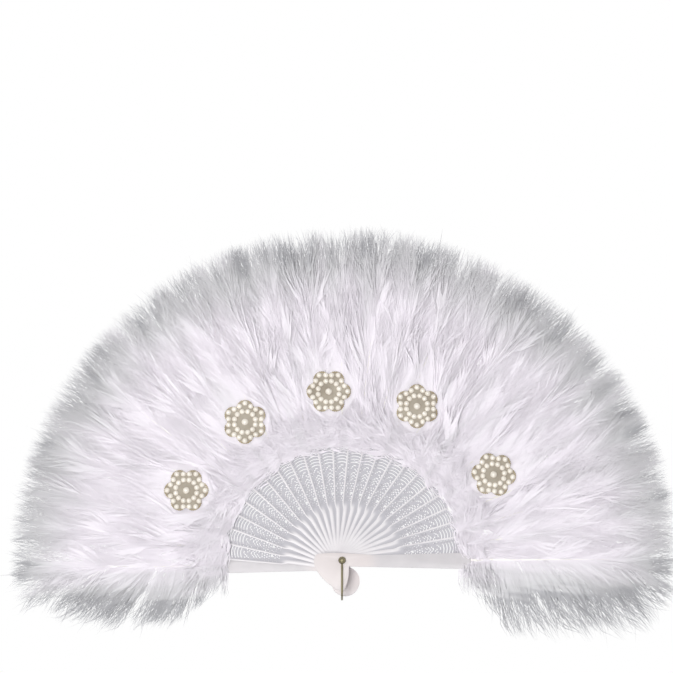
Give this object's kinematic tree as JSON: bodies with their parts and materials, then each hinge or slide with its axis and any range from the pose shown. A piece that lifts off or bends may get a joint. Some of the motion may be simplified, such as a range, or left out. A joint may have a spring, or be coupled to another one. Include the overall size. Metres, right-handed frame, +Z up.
{
  "type": "folding feather fan",
  "caption": "Folding hand fan with pierced sticks on one rivet, a downy plume on every stick, pearl rosettes and a wire bail; it closes from a half circle to one stack.",
  "frame": {"origin": "on the rivet's axis, midway through the stack of sticks, where the hand holds the fan", "axes": "+X along the front guard when open, +Y along the rivet from the front to the back, +Z up along the middle stick"},
  "size_m": [0.522, 0.0532, 0.3241],
  "materials": {
    "stick_plastic": "white moulded plastic, softly glossy",
    "feather": "white marabou down with a faint lavender cast, cooler grey at the tips",
    "pearl": "ivory imitation pearl on a beige cloth backing",
    "brass": "dull polished wire",
    "satin": "white satin ribbon"
  },
  "bodies": {
    "rear_guard": {"guard_rear": "stick_plastic", "plume_00": "feather", "ribbon": "satin", "rivet": "brass", "rivet_cap": "brass"},
    "stick_01": {"stick_01": "stick_plastic", "plume_01": "feather"},
    "stick_02": {"stick_02": "stick_plastic", "plume_02": "feather"},
    "stick_03": {"stick_03": "stick_plastic", "plume_03": "feather"},
    "stick_04": {"stick_04": "stick_plastic", "plume_04": "feather", "pearl_rosette_1": "pearl"},
    "stick_05": {"stick_05": "stick_plastic", "plume_05": "feather"},
    "stick_06": {"stick_06": "stick_plastic", "plume_06": "feather"},
    "stick_07": {"stick_07": "stick_plastic", "plume_07": "feather"},
    "stick_08": {"stick_08": "stick_plastic", "plume_08": "feather", "pearl_rosette_2": "pearl"},
    "stick_09": {"stick_09": "stick_plastic", "plume_09": "feather"},
    "stick_10": {"stick_10": "stick_plastic", "plume_10": "feather"},
    "stick_11": {"stick_11": "stick_plastic", "plume_11": "feather"},
    "stick_12": {"stick_12": "stick_plastic", "plume_12": "feather", "pearl_rosette_3": "pearl"},
    "stick_13": {"stick_13": "stick_plastic", "plume_13": "feather"},
    "stick_14": {"stick_14": "stick_plastic", "plume_14": "feather"},
    "stick_15": {"stick_15": "stick_plastic", "plume_15": "feather"},
    "stick_16": {"stick_16": "stick_plastic", "plume_16": "feather", "pearl_rosette_4": "pearl"},
    "stick_17": {"stick_17": "stick_plastic", "plume_17": "feather"},
    "stick_18": {"stick_18": "stick_plastic", "plume_18": "feather"},
    "stick_19": {"stick_19": "stick_plastic", "plume_19": "feather"},
    "stick_20": {"stick_20": "stick_plastic", "plume_20": "feather"},
    "stick_21": {"stick_21": "stick_plastic", "plume_21": "feather", "pearl_rosette_5": "pearl"},
    "stick_22": {"stick_22": "stick_plastic", "plume_22": "feather"},
    "stick_23": {"stick_23": "stick_plastic", "plume_23": "feather"},
    "front_guard": {"guard_front": "stick_plastic", "plume_24": "feather"},
    "bail": {"bail": "brass"}
  },
  "joints": [
    {"name": "fold", "type": "hinge", "parent": "rear_guard", "child": "front_guard", "pos_m": [0, 0, 0], "axis": [0, -1, 0], "range_deg": [0, 180], "deforming": ["ribbon"]},
    {"name": "fold_01", "type": "hinge", "parent": "rear_guard", "child": "stick_01", "pos_m": [0, 0, 0], "axis": [0, -1, 0], "range_deg": [0, 7.5]},
    {"name": "fold_02", "type": "hinge", "parent": "rear_guard", "child": "stick_02", "pos_m": [0, 0, 0], "axis": [0, -1, 0], "range_deg": [0, 15]},
    {"name": "fold_03", "type": "hinge", "parent": "rear_guard", "child": "stick_03", "pos_m": [0, 0, 0], "axis": [0, -1, 0], "range_deg": [0, 22.5]},
    {"name": "fold_04", "type": "hinge", "parent": "rear_guard", "child": "stick_04", "pos_m": [0, 0, 0], "axis": [0, -1, 0], "range_deg": [0, 30]},
    {"name": "fold_05", "type": "hinge", "parent": "rear_guard", "child": "stick_05", "pos_m": [0, 0, 0], "axis": [0, -1, 0], "range_deg": [0, 37.5]},
    {"name": "fold_06", "type": "hinge", "parent": "rear_guard", "child": "stick_06", "pos_m": [0, 0, 0], "axis": [0, -1, 0], "range_deg": [0, 45]},
    {"name": "fold_07", "type": "hinge", "parent": "rear_guard", "child": "stick_07", "pos_m": [0, 0, 0], "axis": [0, -1, 0], "range_deg": [0, 52.5]},
    {"name": "fold_08", "type": "hinge", "parent": "rear_guard", "child": "stick_08", "pos_m": [0, 0, 0], "axis": [0, -1, 0], "range_deg": [0, 60]},
    {"name": "fold_09", "type": "hinge", "parent": "rear_guard", "child": "stick_09", "pos_m": [0, 0, 0], "axis": [0, -1, 0], "range_deg": [0, 67.5]},
    {"name": "fold_10", "type": "hinge", "parent": "rear_guard", "child": "stick_10", "pos_m": [0, 0, 0], "axis": [0, -1, 0], "range_deg": [0, 75]},
    {"name": "fold_11", "type": "hinge", "parent": "rear_guard", "child": "stick_11", "pos_m": [0, 0, 0], "axis": [0, -1, 0], "range_deg": [0, 82.5]},
    {"name": "fold_12", "type": "hinge", "parent": "rear_guard", "child": "stick_12", "pos_m": [0, 0, 0], "axis": [0, -1, 0], "range_deg": [0, 90]},
    {"name": "fold_13", "type": "hinge", "parent": "rear_guard", "child": "stick_13", "pos_m": [0, 0, 0], "axis": [0, -1, 0], "range_deg": [0, 97.5]},
    {"name": "fold_14", "type": "hinge", "parent": "rear_guard", "child": "stick_14", "pos_m": [0, 0, 0], "axis": [0, -1, 0], "range_deg": [0, 105]},
    {"name": "fold_15", "type": "hinge", "parent": "rear_guard", "child": "stick_15", "pos_m": [0, 0, 0], "axis": [0, -1, 0], "range_deg": [0, 112.5]},
    {"name": "fold_16", "type": "hinge", "parent": "rear_guard", "child": "stick_16", "pos_m": [0, 0, 0], "axis": [0, -1, 0], "range_deg": [0, 120]},
    {"name": "fold_17", "type": "hinge", "parent": "rear_guard", "child": "stick_17", "pos_m": [0, 0, 0], "axis": [0, -1, 0], "range_deg": [0, 127.5]},
    {"name": "fold_18", "type": "hinge", "parent": "rear_guard", "child": "stick_18", "pos_m": [0, 0, 0], "axis": [0, -1, 0], "range_deg": [0, 135]},
    {"name": "fold_19", "type": "hinge", "parent": "rear_guard", "child": "stick_19", "pos_m": [0, 0, 0], "axis": [0, -1, 0], "range_deg": [0, 142.5]},
    {"name": "fold_20", "type": "hinge", "parent": "rear_guard", "child": "stick_20", "pos_m": [0, 0, 0], "axis": [0, -1, 0], "range_deg": [0, 150]},
    {"name": "fold_21", "type": "hinge", "parent": "rear_guard", "child": "stick_21", "pos_m": [0, 0, 0], "axis": [0, -1, 0], "range_deg": [0, 157.5]},
    {"name": "fold_22", "type": "hinge", "parent": "rear_guard", "child": "stick_22", "pos_m": [0, 0, 0], "axis": [0, -1, 0], "range_deg": [0, 165]},
    {"name": "fold_23", "type": "hinge", "parent": "rear_guard", "child": "stick_23", "pos_m": [0, 0, 0], "axis": [0, -1, 0], "range_deg": [0, 172.5]},
    {"name": "bail_swing", "type": "hinge", "parent": "rear_guard", "child": "bail", "pos_m": [0, 0, 0], "axis": [0, -1, 0], "range_deg": [-60, 60]}
  ],
  "couplings": [
    {"joint": "fold_01", "follows": "fold", "ratio": 0.041667},
    {"joint": "fold_02", "follows": "fold", "ratio": 0.083333},
    {"joint": "fold_03", "follows": "fold", "ratio": 0.125},
    {"joint": "fold_04", "follows": "fold", "ratio": 0.16667},
    {"joint": "fold_05", "follows": "fold", "ratio": 0.20833},
    {"joint": "fold_06", "follows": "fold", "ratio": 0.25},
    {"joint": "fold_07", "follows": "fold", "ratio": 0.29167},
    {"joint": "fold_08", "follows": "fold", "ratio": 0.33333},
    {"joint": "fold_09", "follows": "fold", "ratio": 0.375},
    {"joint": "fold_10", "follows": "fold", "ratio": 0.41667},
    {"joint": "fold_11", "follows": "fold", "ratio": 0.45833},
    {"joint": "fold_12", "follows": "fold", "ratio": 0.5},
    {"joint": "fold_13", "follows": "fold", "ratio": 0.54167},
    {"joint": "fold_14", "follows": "fold", "ratio": 0.58333},
    {"joint": "fold_15", "follows": "fold", "ratio": 0.625},
    {"joint": "fold_16", "follows": "fold", "ratio": 0.66667},
    {"joint": "fold_17", "follows": "fold", "ratio": 0.70833},
    {"joint": "fold_18", "follows": "fold", "ratio": 0.75},
    {"joint": "fold_19", "follows": "fold", "ratio": 0.79167},
    {"joint": "fold_20", "follows": "fold", "ratio": 0.83333},
    {"joint": "fold_21", "follows": "fold", "ratio": 0.875},
    {"joint": "fold_22", "follows": "fold", "ratio": 0.91667},
    {"joint": "fold_23", "follows": "fold", "ratio": 0.95833}
  ]
}
